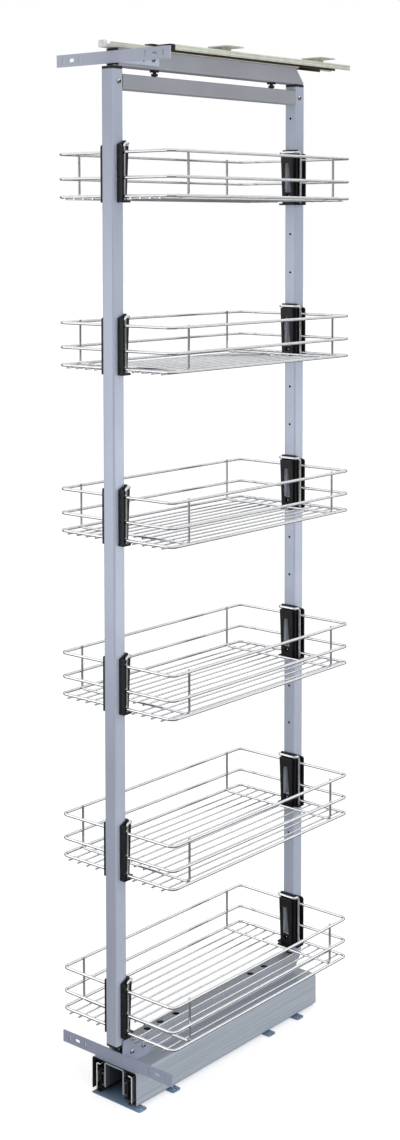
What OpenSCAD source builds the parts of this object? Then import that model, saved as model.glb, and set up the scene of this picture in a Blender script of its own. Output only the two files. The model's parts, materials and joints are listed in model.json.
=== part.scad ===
// Pull-out pantry frame: two tall posts that carry six hook-on wire baskets.
// The frame rides on a telescopic floor runner and is guided by a telescopic top slide.
// Millimetres, +Z up, the front is -Y, the origin is under the centre of the base plate.

/* [Frame] */
// Depth over the outer faces of the two uprights
frame_depth = 512; // [440:1:560]
// Side of the square upright and crossbar tube
upright_size = 25; // [22:0.5:28]
// Wall of the upright and crossbar tube
tube_wall = 1.5; // [1:0.1:2.5]
// Corner radius of the square tube
tube_corner = 3; // [2:0.5:4]
// Length of each upright tube
upright_len = 1616; // [1600:1:1800]
// Flange of the plug under each upright
foot_plug_t = 3.5; // [2:0.5:6]
// Flange of the plug on top of each upright
head_plug_t = 4.5; // [2:0.5:6]
// Depth of the foot plugs in the tube
foot_plug_depth = 22; // [12:1:24]
// Depth of the head plugs in the tube
head_plug_depth = 30; // [28:1:40]
// Distance from the crossbar to the top end of the upright tube
crossbar_drop = 7; // [5:0.5:9]
// Distance of the crossbar screws in from the outer face of the upright
crossbar_screw_inset = 15; // [10:0.5:16]
// Diameter of the screw holes down the inner faces of the uprights
row_hole_d = 4.5; // [3:0.5:6]
// Spacing of those holes
row_pitch = 70; // [50:1:100]
// Number of those holes in one upright
row_count = 20; // [5:1:20]

/* [Floor runner] */
// Length of the runner members and the cover
runner_len = 500; // [450:1:540]
// Thickness of the base plate
base_t = 2; // [1.5:0.1:3]
// How far the base plate reaches in front of the runner
base_nose = 6; // [0:1:20]
// How far the base plate reaches past the outer rails at each side
base_margin = 4; // [1:0.5:6]
// Height of the fixed outer rails
outer_rail_h = 50; // [46:1:60]
// Wall of the outer and middle rails
rail_t = 2; // [1.5:0.1:2.5]
// Wall of the inner rails
inner_rail_t = 1.5; // [1:0.1:2]
// Outside bend radius of the outer and inner rails
rail_bend = 3; // [2.5:0.5:4]
// Diameter of the balls between the outer and middle rails
outer_ball_d = 5; // [4:0.1:6]
// Diameter of the balls between the middle and inner rails
inner_ball_d = 4; // [3:0.1:5]
// Balls in one row of a runner cage
runner_balls = 9; // [4:1:10]
// Length of the runner ball cages
runner_cage_len = 200; // [150:1:250]
// Thickness of the ball cage strip
cage_t = 0.6; // [0.4:0.1:0.8]
// Width of the inner channel that carries the inner rails
channel_w = 44; // [36:1:48]
// Wall of the inner channel
channel_t = 2.5; // [1.5:0.1:3]
// Outside bend radius of the inner channel
channel_bend = 4; // [3:0.5:6]
// Width of the runner cover
cover_w = 100; // [92:1:120]
// Wall of the runner cover
cover_t = 2; // [1.5:0.1:3]
// Corner radius of the runner cover
cover_r = 4; // [3:0.5:8]
// Room between the outer rails and the top of the cover
cover_headroom = 6; // [3:0.5:12]
// Gap from the base plate to the lower edge of the cover
cover_lift = 3; // [2:0.5:6]
// Radius of the long ridges on the sides of the cover
ridge_r = 1.2; // [0.6:0.1:1.6]
// Spacing of those ridges
ridge_pitch = 5; // [4:0.5:7]
// Number of those ridges on one side
ridge_count = 3; // [1:1:5]
// Width over the screw tabs of the base plate
tab_span = 126; // [118:1:150]
// Length of a screw tab
tab_len = 20; // [14:1:24]
// Corner radius of a screw tab
tab_r = 4; // [2:0.5:6]
// Screw hole in a tab
tab_hole_d = 5.5; // [4:0.5:6.5]
// Spacing of the tab holes across the base
tab_hole_span = 114; // [110:1:134]
// Place of the rearmost pair of tabs
rear_tab_y = 187; // [150:1:220]
// Distance from a leading pair of tabs to the next pair behind it
tab_pair_step = 85; // [60:1:110]

/* [Bottom rail and top beam] */
// Width of the bottom rail and the top beam
beam_w = 28; // [26:0.5:32]
// Wall of the bottom rail and the top beam
beam_t = 2; // [1.5:0.1:3]
// Height of the bottom rail
bottom_rail_h = 32.5; // [26:0.5:40]
// Height of the top beam
beam_h = 29.5; // [26:0.5:36]
// How far the beam and rail stand in from the front face of the front upright
beam_setback = 14.3; // [12:0.1:16]
// How far they stand in from the rear face of the rear upright
beam_rear_setback = 4; // [0:0.5:10]
// Slanting cut on the rear end of the beam and rail
end_cut = 24; // [10:1:26]
// Access holes in the web of the bottom rail
access_hole_d = 13; // [8:0.5:16]
// Place of the first access hole of the front pair
access_front_y = -134; // [-150:1:-110]
// Place of the first access hole of the rear pair
access_rear_y = 115; // [60:1:125]
// Spacing of the two access holes of a pair
access_step = 41; // [30:1:60]
// Distance from the front pair to the single hole in front of it
access_lead = 33; // [26:1:38]
// Outside bend radius of the bottom rail and the top beam
beam_bend = 3.5; // [2.5:0.5:5]

/* [Front brackets] */
// Length of the bracket bars that carry the door
bracket_len = 249; // [210:1:260]
// Height of the bracket bars
bracket_h = 20; // [16:0.5:24]
// Thickness of the bracket bars and arms
bracket_t = 2.5; // [2:0.1:4]
// Length of the arms of the bottom bracket
low_arm_len = 61; // [58:1:90]
// Height of the arms of the bottom bracket
low_arm_h = 28; // [24:0.5:30]
// Length of the arms of the top bracket
high_arm_len = 94; // [90:1:120]
// Rise of the bottom arms beside the foot of the front upright
cheek_rise = 16; // [10:1:18]
// Height of the screws of the bottom bracket over the runner cover
low_screw_rise = 18.5; // [14:0.5:20]
// Spacing of the two screws in one arm of the bottom bracket
low_screw_step = 28; // [20:1:34]
// Spacing of the two screws in one arm of the top bracket
high_screw_step = 24; // [20:1:34]
// Distance from the last screw to the end of an arm
arm_end = 14; // [8:1:18]
// Distance across between the oval door slots
oval_span = 182; // [170:1:188]
// Height of the oval door slots
oval_h = 6; // [4:0.5:8]
// Length of the oval door slots
oval_len = 12; // [9:0.5:14]
// Width of the upright notch slots
notch_w = 3; // [2:0.5:4]
// Height of the upright notch slots
notch_h = 11; // [8:0.5:13]
// Distance from an oval slot to the notch slot on each side of it
notch_step = 18.5; // [15:0.5:22]
// Drop of the top bracket bar below the top of the beam
high_bar_drop = 4.5; // [2:0.5:8]

/* [Top slide] */
// Length of the top slide members
slide_len = 500; // [460:1:540]
// Width of the inner slide on the beam
slide_w = 27; // [25:0.5:28]
// Wall of the slide members
slide_t = 1.2; // [1:0.1:1.6]
// Outside bend radius of the slide members
slide_bend = 2; // [1.6:0.1:3]
// Radius of the rolled groove along each side of the ceiling slide
groove_r = 3; // [2:0.5:4]
// Depth of that groove
groove_depth = 0.5; // [0.3:0.1:0.7]
// Height of the inner slide
inner_slide_h = 8; // [7:0.5:9]
// Height of the middle and outer slide walls
slide_wall_h = 10; // [9:0.5:12]
// Diameter of the slide balls
slide_ball_d = 2.7; // [2.2:0.1:3.2]
// Balls in one row of a slide cage
slide_balls = 7; // [4:1:9]
// Length of the slide ball cages
slide_cage_len = 150; // [120:1:180]
// Running gap over the bridges of the slide cages
bridge_gap = 0.8; // [0.6:0.1:1.2]
// Thickness of the cap on the front of the ceiling slide
slide_cap_t = 10; // [6:0.5:14]
// Width of the bumper on the front of the inner slide
bumper_w = 12; // [8:1:20]
// Edge radius of that bumper
bumper_r = 3; // [1:0.5:4]
// Length of that bumper
bumper_len = 8; // [6:1:16]
// Height of that bumper
bumper_h = 11; // [8:0.5:14]
// Width of the stop on the front of the middle slide
stop_w = 16; // [10:1:30]
// Length of that stop
stop_len = 16; // [8:1:20]
// Height of that stop
stop_h = 1.6; // [1:0.1:2]
// How far the inner slide stands out in front of the front upright
slide_nose = 5; // [2:1:20]
// Setback of the middle slide behind the inner slide
middle_setback = 105; // [60:1:120]
// Setback of the ceiling slide behind the middle slide
ceiling_setback = 42; // [20:1:60]
// Height of the ceiling plates over the ceiling slide
plate_rise = 9; // [6:0.5:14]
// Width of a ceiling plate
plate_w = 47; // [44:1:54]
// Length of a ceiling plate
plate_len = 46; // [30:1:50]
// Corner radius of a ceiling plate
plate_r = 4; // [2:0.5:8]
// Diameter of the boss under a ceiling plate
boss_d = 18; // [12:1:20]
// Thickness of a ceiling plate
plate_t = 2; // [1.5:0.1:3]
// Screw hole in a ceiling plate
plate_hole_d = 5; // [4:0.5:6]
// Spacing of the two holes in a ceiling plate
plate_hole_span = 32; // [28:1:36]
// Distance from the front of the ceiling slide to the first plate
first_plate = 159; // [120:1:200]
// Distance between the two plates
plate_step = 271; // [200:1:300]

/* [Baskets] */
// Level of the top rim of the lowest basket
lowest_level = 190; // [180:1:220]
// Level of the top rim of the second basket
second_level = 459; // [440:1:480]
// Number of row holes from one basket to the next
level_steps = 4; // [3:1:4]
// Width of a basket between the centres of its side wires
basket_w = 250; // [200:1:260]
// Distance of the end rims in from the outer faces of the uprights
rim_inset = 15; // [14:0.5:17]
// Rim wire diameter
rim_d = 5; // [4:0.1:6]
// Rim corner radius at the wire centre
rim_r = 10; // [8:0.5:20]
// Drop of the middle rim below the top rim
mid_rim_drop = 41; // [30:1:48]
// Drop of the lowest rim below the top rim
low_rim_drop = 71; // [66:1:74]
// How far the rim ends pass the hook legs that they are welded to
rim_lap = 2; // [1:0.5:2.5]
// Hook wire diameter
hook_d = 5; // [4:0.1:5.5]
// Level of the hook bar over the top rim
hook_rise = 14; // [12:0.5:18]
// How far the hook legs reach below the lowest rim wire
hook_foot = 4.2; // [4:0.1:6]
// Bend radius of the hook wire
hook_r = 5.5; // [4:0.5:6]
// Cross wire diameter
cross_d = 4; // [3:0.1:4.5]
// Distance of the cross wires from the middle of the basket
cross_y = 196; // [150:1:198]
// Bend radius of the cross wires
cross_r = 6; // [5:0.5:12]
// How far the cross wires stand over the top rim
cross_rise = 3; // [1:0.5:6]
// Floor wire diameter
floor_d = 3; // [2.5:0.1:4]
// Floor wire spacing
floor_pitch = 21; // [18:0.5:22]
// Number of floor wires each side of the middle one
floor_side_count = 5; // [3:1:5]
// How far the floor wire ends stand out past the end rims
floor_stub = 6; // [4:0.5:8]
// Depth to which wires sink into each other where they are welded
weld = 0.45; // [0.3:0.05:0.8]

/* [Basket clips] */
// Wall of the clip cheeks and wings
clip_t = 3; // [2:0.1:4]
// Thickness of the clip back plate
clip_back_t = 2.7; // [2:0.1:3.5]
// Width of a clip over its wings
clip_w = 47; // [44:0.5:50]
// Corner radius at the top of the wings
wing_r = 4; // [2:0.5:6]
// How far the wings reach over the top rim
clip_head = 12; // [6:0.5:14]
// Thickness of the foot that the hook legs stand on
clip_foot_t = 3; // [2:0.5:4]
// Depth of the tongue at its top
tongue_depth = 10; // [8:0.5:12]
// Depth of the tongue at its bottom
tongue_foot = 5; // [4:0.5:8]
// Width of the tongue
tongue_w = 24.4; // [20:0.2:25]
// Wall of the hollow tongue
tongue_wall = 2; // [1.5:0.1:3]
// Drop of the tongue window below the top rim
window_drop = 5; // [3:0.5:12]
// Height of the tongue window
window_h = 53; // [30:1:55]
// Width of the window at its top
window_top_w = 10.4; // [8:0.2:12]
// Width of the window at its bottom
window_low_w = 15; // [12:0.5:17]
// How far the back plate stands over the hook bar
clip_back_rise = 2.5; // [2:0.5:8]
// Marking holes in the wings, one at each rim
dot_d = 2.4; // [1.5:0.1:3]
// Drop of the clip screw below the top rim
clip_screw_drop = 64; // [63:0.5:66]

/* [Fasteners and fits] */
// Bracket screw head diameter
screw_head_d = 9; // [7:0.5:10]
// Bracket screw head height
screw_head_h = 3.2; // [2:0.1:4]
// Bracket, crossbar and upright screw diameter
screw_d = 5; // [4:0.5:6]
// Width of the hexagon socket across its corners, as a share of the screw head
socket_share = 0.5; // [0.4:0.05:0.6]
// Clip screw head diameter
clip_screw_head_d = 7; // [6:0.5:8]
// Clip screw head height
clip_screw_head_h = 2; // [1.5:0.1:2.4]
// Clip screw diameter
clip_screw_d = 4; // [2.5:0.1:4.2]
// Clip screw length under its head
clip_screw_len = 8; // [6:0.5:12]
// Slide bolt diameter
bolt_d = 6; // [5:0.5:8]
// Slide bolt head width across its corners
bolt_head_d = 12; // [11:0.5:14]
// Slide bolt head height
bolt_head_h = 4; // [3:0.5:4]
// Height of the domed end under the slide bolt head
bolt_tip_h = 1.5; // [1:0.1:1.5]
// Slide bolt neck between its head and flange
bolt_neck = 2.5; // [1.5:0.5:2.5]
// Slide bolt flange diameter
bolt_flange_d = 16; // [14:0.5:20]
// Slide bolt flange thickness
bolt_flange_t = 3; // [2:0.1:3.2]
// Slide bolt nut width across its corners
nut_d = 11.5; // [10:0.5:14]
// Slide bolt nut height
nut_h = 4.5; // [3:0.5:5]
// Place of the front slide bolt
front_bolt_y = -141; // [-180:1:-100]
// Place of the rear slide bolt
rear_bolt_y = 174; // [120:1:200]
// Clearance of a fastener in its hole, over the diameter
hole_play = 0.4; // [0.2:0.1:0.8]
// Clearance between a ball and its raceway
ball_gap = 0.3; // [0.2:0.05:0.5]
// Clearance at the sides of rails and cages
side_gap = 0.5; // [0.4:0.1:0.8]
// Clearance between the clip and its upright
clip_fit = 0.3; // [0.2:0.05:0.5]
// Clearance between a basket and its clips
seat_gap = 0.3; // [0.2:0.05:0.5]
// Gap between the hook legs and the clip cheeks
cheek_gap = 1.1; // [0.5:0.1:2]
// Gap between the hook bar and the clip back plate
bar_gap = 1; // [0.5:0.1:2]
// Gap from the hook bar to the tongue, and from the rims to the wings
hook_gap = 0.5; // [0.4:0.1:0.8]
// Clearance of a plug in its tube
plug_fit = 0.2; // [0.1:0.05:0.4]

/* [Hidden] */
$fn = 48;

// Overshoot of a cutting body past the face that it cuts
cut = 1;
// Sides of the frame and ends of the frame
sides = [-1, 1];

// Runner section, outwards from the channel, as distances from the middle plane
channel_x = channel_w / 2;
inner_web_x = channel_x + inner_rail_t;
inner_ball_x = inner_web_x + side_gap + inner_ball_d / 2;
inner_lip_x = inner_ball_x + inner_ball_d / 2;
inner_cage_x = inner_lip_x + side_gap;
middle_web_x = inner_cage_x + cage_t + side_gap;
outer_ball_x = middle_web_x + rail_t + side_gap + outer_ball_d / 2;
middle_flange_x = outer_ball_x + outer_ball_d / 2;
outer_cage_x = middle_flange_x + side_gap;
outer_web_x = outer_cage_x + cage_t + side_gap;
base_x = outer_web_x + rail_t;

// Runner section, as heights from the rail centre line
rail_z = base_t + outer_rail_h / 2;
outer_ball_z = outer_rail_h / 2 - rail_t - ball_gap - outer_ball_d / 2;
middle_half_h = outer_ball_z - outer_ball_d / 2 - ball_gap;
inner_ball_z = middle_half_h - rail_t - ball_gap - inner_ball_d / 2;
inner_half_h = inner_ball_z - inner_ball_d / 2 - ball_gap;

// Levels from the floor up
cover_low = base_t + cover_lift;
cover_top = base_t + outer_rail_h + cover_headroom + cover_t;
channel_top = cover_top - cover_t;
bottom_rail_top = cover_top + bottom_rail_h;
upright_low = bottom_rail_top + foot_plug_t;
upright_top = upright_low + upright_len;
crossbar_z = upright_top - crossbar_drop - upright_size / 2;
beam_low = upright_top + head_plug_t;
beam_top = beam_low + beam_h;
inner_slide_top = beam_top + inner_slide_h;
inner_bridge_z = inner_slide_top + bridge_gap;
middle_slide_top = inner_bridge_z + cage_t + bridge_gap + slide_t;
outer_bridge_z = middle_slide_top + bridge_gap;
ceiling_slide_top = outer_bridge_z + cage_t + bridge_gap + slide_t;
plate_top = ceiling_slide_top + plate_rise;

// Depth along Y
half_depth = frame_depth / 2;
upright_y = half_depth - upright_size / 2;
runner_front = -runner_len / 2;
base_front = runner_front - base_nose;
beam_front = beam_setback - half_depth;
beam_rear = half_depth - beam_rear_setback;
slide_front = -half_depth - slide_nose;
middle_front = slide_front + middle_setback;
ceiling_front = middle_front + ceiling_setback;

access_pairs = [for (y = [access_front_y, access_rear_y], i = [0, 1]) y + i * access_step];
access_holes = concat([access_front_y - access_lead], access_pairs);

front_tab_y = base_front + tab_len / 2;
paired_tabs = [front_tab_y + tab_pair_step, rear_tab_y - tab_pair_step, rear_tab_y];
right_tabs = concat([front_tab_y], paired_tabs);

// Top slide section
slide_lane = slide_ball_d + 2 * ball_gap;
inner_slide_x = slide_w / 2;
middle_slide_x = inner_slide_x + slide_lane + slide_t;
ceiling_slide_x = middle_slide_x + slide_lane + slide_t;
inner_lane_x = inner_slide_x + slide_lane / 2;
outer_lane_x = middle_slide_x + slide_lane / 2;
middle_slide_low = middle_slide_top - slide_wall_h;
ceiling_slide_low = ceiling_slide_top - slide_wall_h;
inner_slide_ball_z = (middle_slide_low + inner_slide_top) / 2;
outer_slide_ball_z = (ceiling_slide_low + middle_slide_top) / 2;
// The top cages lie where their two members still overlap at full travel
inner_cage_front = (slide_front + middle_front + slide_len - slide_cage_len) / 2;
outer_cage_front = (middle_front + ceiling_front + slide_len - slide_cage_len) / 2;

// Bracket levels and screws
low_bar_z = cover_top + bracket_h / 2;
low_screw_z = cover_top + low_screw_rise;
high_bar_z = beam_top - high_bar_drop - bracket_h / 2;
bracket_y = beam_front - bracket_t;
arm_x = beam_w / 2;
low_screw_y = beam_front + low_arm_len - arm_end;
high_screw_y = beam_front + high_arm_len - arm_end;
upright_bolt_y = half_depth - beam_setback - screw_d;
crossbar_screw_y = half_depth - crossbar_screw_inset;

// Clip and hook section: u is the distance in from the outer face of the upright
level_pitch = level_steps * row_pitch;
basket_count = 6;
function level(i) = i == basket_count ? lowest_level : second_level + (basket_count - 1 - i) * level_pitch;
cheek_x = upright_size / 2 + clip_fit;
clip_back_u = upright_size + clip_fit;
tongue_u = clip_back_u + clip_back_t;
leg_low = -low_rim_drop - rim_d / 2 - hook_foot;
foot_top = leg_low - seat_gap;
foot_low = foot_top - clip_foot_t;
leg_x = cheek_x + clip_t + cheek_gap + hook_d / 2;
bar_u = tongue_u + bar_gap + hook_d / 2;
tongue_top = hook_rise - hook_d / 2 - hook_gap;
wing_u = rim_inset - rim_d / 2 - hook_gap;
leg_u = rim_inset + rim_d / 2 + hook_d / 2 - weld;
row_low = second_level - clip_screw_drop - row_pitch;

// Basket wires, from the level of the top rim
basket_x = basket_w / 2;
basket_y = half_depth - rim_inset;
rim_levels = [0, -mid_rim_drop, -low_rim_drop];
cross_x = basket_x - rim_d / 2 - cross_d / 2 + weld;
floor_z = -low_rim_drop - rim_d / 2 - floor_d / 2 + weld;
cross_z = floor_z + floor_d / 2 + cross_d / 2 - weld;

// Shapes that repeat

// Square with round corners, centred
module rounded(w, h, r) {
    square([w - 2 * r, h], center = true);
    square([w, h - 2 * r], center = true);
    for (x = sides, y = sides)
        translate([x * (w / 2 - r), y * (h / 2 - r)])
            circle(r);
}

// Section of the square tube
module tube_section() {
    difference() {
        rounded(upright_size, upright_size, tube_corner);
        rounded(upright_size - 2 * tube_wall, upright_size - 2 * tube_wall, tube_corner / 2);
    }
}

// Runs an X-Z section along Y from y0
module along_y(y0, len) {
    translate([0, y0 + len, 0])
        rotate([90, 0, 0])
            linear_extrude(len)
                children();
}

// Runs a Y-Z section along X, centred
module across_x(len) {
    rotate([90, 0, 90])
        linear_extrude(len, center = true)
            children();
}

// Rectangle between two corners
module span(x0, z0, x1, z1) {
    translate([x0, z0])
        square([x1 - x0, z1 - z0]);
}

// Rectangle with its two upper corners rounded
module arch(half_w, low, top, r) {
    span(-half_w, low, half_w, top - r);
    span(r - half_w, low, half_w - r, top);
    for (x = sides)
        translate([x * (half_w - r), top - r])
            circle(r);
}

// Inverted U section of bent sheet
module hood(half_w, low, top, t, bend) {
    difference() {
        arch(half_w, low, top, bend);
        arch(half_w - t, low - cut, top - t, max(bend - t, t / 4));
    }
}

// C section of bent sheet, from the back of its web to the ends of its lips
module c_section(web, lip, half_h, t, bend) {
    depth = abs(lip - web);
    translate([web, 0])
        mirror([lip < web ? 1 : 0, 0])
            difference() {
                translate([depth, 0])
                    rounded(2 * depth, 2 * half_h, bend);
                translate([depth, 0])
                    rounded(2 * (depth - t), 2 * (half_h - t), max(bend - t, t / 4));
                span(depth, -half_h - cut, 2 * depth + cut, half_h + cut);
            }
}

// Round bar along each axis, from the origin
module bar_x(len, d) {
    rotate([0, 90, 0])
        cylinder(d = d, h = len);
}

module bar_y(len, d) {
    rotate([-90, 0, 0])
        cylinder(d = d, h = len);
}

// Quarter bend in the X-Y plane round the origin
module elbow(r, d) {
    rotate_extrude(angle = 90)
        translate([r, 0])
            circle(d = d);
}

// Oval hole through a plate that faces Y
module oval(w, h, t) {
    long = max(w, h);
    short = min(w, h);
    step = (long - short) / 2;
    turn = h > w ? 90 : 0;
    rotate([90, turn, 0]) {
        for (x = sides)
            translate([x * step, 0, 0])
                cylinder(d = short, h = t + 2 * cut, center = true);
        cube([2 * step, short, t + 2 * cut], center = true);
    }
}

// Disc on the X-Y plane with a domed top over a straight edge
module dome(d, h, edge) {
    rise = h - edge;
    ball_r = (d * d / 4 + rise * rise) / (2 * rise);
    intersection() {
        cylinder(d = d, h = h);
        translate([0, 0, h - ball_r])
            sphere(ball_r);
    }
}

// Screw with a domed socket head on the X-Y plane and its shank below
module screw(head_d, head_h, d, len) {
    difference() {
        union() {
            dome(head_d, head_h, head_h / 4);
            translate([0, 0, -len])
                cylinder(d = d, h = len + head_h / 4);
        }
        translate([0, 0, head_h / 2])
            cylinder(d = head_d * socket_share, h = head_h, $fn = 6);
    }
}

// Floor runner

// Screw tabs from the middle of the base out to the right
module base_tabs(places) {
    for (y = places)
        difference() {
            translate([tab_span / 4, y, 0])
                linear_extrude(base_t)
                    rounded(tab_span / 2, tab_len, tab_r);
            translate([tab_hole_span / 2, y, -cut])
                cylinder(d = tab_hole_d, h = base_t + 2 * cut);
        }
}

// The front end has a tab on the right only
module base_plate() {
    half_w = base_x + base_margin;
    color("gainsboro") {
        translate([-half_w, base_front, 0])
            cube([2 * half_w, runner_len + base_nose, base_t]);
        base_tabs(right_tabs);
        mirror([1, 0, 0])
            base_tabs(paired_tabs);
    }
}

module outer_rail(side) {
    color("dimgray")
    mirror([side < 0 ? 1 : 0, 0, 0])
        along_y(runner_front, runner_len)
            translate([0, rail_z])
                c_section(base_x, outer_ball_x - outer_ball_d / 2, outer_rail_h / 2, rail_t, rail_bend);
}

module middle_rail(side) {
    color("dimgray")
    mirror([side < 0 ? 1 : 0, 0, 0])
        along_y(runner_front, runner_len)
            translate([0, rail_z]) {
                span(middle_web_x, -middle_half_h, middle_web_x + rail_t, middle_half_h);
                for (z = [-middle_half_h, middle_half_h - rail_t])
                    span(inner_web_x + side_gap, z, middle_flange_x, z + rail_t);
            }
}

module inner_rail(side) {
    color("dimgray")
    mirror([side < 0 ? 1 : 0, 0, 0])
        along_y(runner_front, runner_len)
            translate([0, rail_z])
                c_section(channel_x, inner_lip_x, inner_half_h, inner_rail_t, rail_bend);
}

// Ball places along one cage
function ball_row(len, count) = [for (i = [0 : count - 1]) (i - (count - 1) / 2) * len / count];

// C-shaped strip with a row of balls in each flange
module runner_cage(web_x, ball_x, ball_z, ball_d) {
    lip_x = 2 * ball_x - web_x - cage_t;
    for (side = [0, 1])
        mirror([side, 0, 0])
            difference() {
                along_y(-runner_cage_len / 2, runner_cage_len)
                    translate([0, rail_z]) {
                        span(web_x, -ball_z - cage_t / 2, web_x + cage_t, ball_z + cage_t / 2);
                        for (z = [-ball_z, ball_z])
                            span(lip_x, z - cage_t / 2, web_x + cage_t, z + cage_t / 2);
                    }
                for (y = ball_row(runner_cage_len, runner_balls), z = sides)
                    translate([ball_x, y, rail_z + z * ball_z - cage_t])
                        cylinder(d = ball_d + 2 * ball_gap, h = 2 * cage_t);
            }
}

module runner_ball_set(ball_x, ball_z, ball_d) {
    for (y = ball_row(runner_cage_len, runner_balls), x = sides, z = sides)
        translate([x * ball_x, y, rail_z + z * ball_z])
            sphere(d = ball_d);
}

module runner_outer_cages() {
    color("goldenrod")
        runner_cage(outer_cage_x, outer_ball_x, outer_ball_z, outer_ball_d);
}

module runner_outer_balls() {
    color("silver")
        runner_ball_set(outer_ball_x, outer_ball_z, outer_ball_d);
}

module runner_inner_cages() {
    color("goldenrod")
        runner_cage(inner_cage_x, inner_ball_x, inner_ball_z, inner_ball_d);
}

module runner_inner_balls() {
    color("silver")
        runner_ball_set(inner_ball_x, inner_ball_z, inner_ball_d);
}

module inner_channel() {
    color("gray")
    difference() {
        along_y(runner_front, runner_len)
            hood(channel_x, rail_z - inner_half_h - inner_rail_t, channel_top, channel_t, channel_bend);
        upright_bolt_holes(channel_top);
    }
}

// Through holes for the bolts under the uprights
module upright_bolt_holes(top) {
    for (y = sides)
        translate([0, y * upright_bolt_y, top - channel_t - cut])
            cylinder(d = screw_d + hole_play, h = channel_t + 2 * cut);
}

module cover_section() {
    hood(cover_w / 2, cover_low, cover_top, cover_t, cover_r);
    for (x = sides, i = [1 : ridge_count])
        translate([x * (cover_w / 2 - ridge_r / 2), cover_low + i * ridge_pitch])
            circle(ridge_r);
}

module runner_cover() {
    color("lightslategray")
    difference() {
        along_y(runner_front, runner_len)
            cover_section();
        upright_bolt_holes(cover_top);
    }
}

// Frame

module bottom_rail() {
    color("silver")
    difference() {
        along_y(beam_front, beam_rear - beam_front)
            hood(beam_w / 2, cover_top, bottom_rail_top, beam_t, beam_bend);
        across_x(beam_w + 2 * cut)
            polygon([
                [beam_rear - end_cut, cover_top],
                [beam_rear + cut, cover_top - cut],
                [beam_rear + cut, bottom_rail_top - beam_t],
                [beam_rear, bottom_rail_top - beam_t]
            ]);
        for (y = access_holes)
            translate([0, y, bottom_rail_top - beam_t - cut])
                cylinder(d = access_hole_d, h = beam_t + 2 * cut);
        upright_bolt_holes(bottom_rail_top);
        arm_screw_holes(low_screw_y, low_screw_step, low_screw_z);
    }
}

// Places of the two screws on each side of an arm
module arm_screws_at(last_y, step, z) {
    for (x = [0, 1], i = [0, 1])
        mirror([x, 0, 0])
            translate([arm_x, last_y - i * step, z])
                rotate([0, 90, 0])
                    children();
}

module arm_screw_holes(last_y, step, z) {
    arm_screws_at(last_y, step, z)
        cylinder(d = screw_d + hole_play, h = 2 * (bracket_t + beam_t), center = true);
}

// Door bar with two arms that clasp the beam
module bracket(bar_z, arm_len, arm_h, last_y, step, screw_z) {
    difference() {
        union() {
            translate([-bracket_len / 2, bracket_y, bar_z - bracket_h / 2])
                cube([bracket_len, bracket_t, bracket_h]);
            for (x = [-arm_x - bracket_t, arm_x])
                translate([x, bracket_y, bar_z - bracket_h / 2])
                    cube([bracket_t, arm_len + bracket_t, arm_h]);
        }
        for (x = sides)
            translate([x * oval_span / 2, bracket_y + bracket_t / 2, bar_z]) {
                oval(oval_len, oval_h, bracket_t);
                for (i = sides)
                    translate([i * notch_step, 0, 0])
                        oval(notch_w, notch_h, bracket_t);
            }
        arm_screw_holes(last_y, step, screw_z);
    }
}

// Raised fronts of the bottom arms, which slope down behind the foot of the upright
module foot_cheeks() {
    low = cover_top + low_arm_h;
    high = low + cheek_rise;
    rear = upright_size - half_depth;
    for (x = sides)
        translate([x * (arm_x + bracket_t / 2), 0, 0])
            across_x(bracket_t)
                polygon([
                    [bracket_y, low - cut],
                    [rear + cheek_rise + cut, low - cut],
                    [rear, high],
                    [bracket_y, high]
                ]);
}

module bottom_bracket() {
    color("silver") {
        bracket(low_bar_z, low_arm_len, low_arm_h, low_screw_y, low_screw_step, low_screw_z);
        foot_cheeks();
    }
}

module top_bracket() {
    color("silver")
        bracket(high_bar_z, high_arm_len, bracket_h, high_screw_y, high_screw_step, high_bar_z);
}

module bracket_screw() {
    translate([0, 0, bracket_t])
        screw(screw_head_d, screw_head_h, screw_d, bracket_t + beam_t + cut);
}

module bracket_screws() {
    color("whitesmoke") {
        arm_screws_at(low_screw_y, low_screw_step, low_screw_z)
            bracket_screw();
        arm_screws_at(high_screw_y, high_screw_step, high_bar_z)
            bracket_screw();
    }
}

// Upright tube at the front, with its row of holes on the inner face
module upright() {
    difference() {
        translate([0, -upright_y, upright_low])
            linear_extrude(upright_len)
                tube_section();
        for (i = [0 : row_count - 1])
            upright_hole(row_low + i * row_pitch);
        upright_hole(lowest_level - clip_screw_drop);
        translate([0, -crossbar_screw_y, crossbar_z])
            bar_x(upright_size, screw_d + hole_play);
    }
}

module upright_hole(z) {
    translate([0, -upright_y, z])
        bar_y(upright_size, row_hole_d);
}

module front_upright() {
    color("lightsteelblue")
        upright();
}

module rear_upright() {
    color("lightsteelblue")
        mirror([0, 1, 0])
            upright();
}

// Plug with its flange below z = 0 and its shank in the tube above
module plug(flange_t, plug_depth) {
    shank = upright_size - 2 * tube_wall - 2 * plug_fit;
    difference() {
        union() {
            translate([0, 0, -flange_t])
                linear_extrude(flange_t)
                    rounded(upright_size, upright_size, tube_corner);
            linear_extrude(plug_depth)
                rounded(shank, shank, tube_corner / 2);
        }
        translate([0, -upright_bolt_y + upright_y, -flange_t - cut])
            cylinder(d = screw_d + hole_play, h = flange_t + plug_depth + 2 * cut);
    }
}

module upright_plugs() {
    color("black")
    for (m = [0, 1])
        mirror([0, m, 0])
            translate([0, -upright_y, 0]) {
                translate([0, 0, upright_low])
                    plug(foot_plug_t, foot_plug_depth);
                difference() {
                    translate([0, 0, upright_top])
                        mirror([0, 0, 1])
                            plug(head_plug_t, head_plug_depth);
                    translate([0, upright_y - crossbar_screw_y, crossbar_z])
                        bar_x(upright_size, screw_d + hole_play);
                }
            }
}

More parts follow.
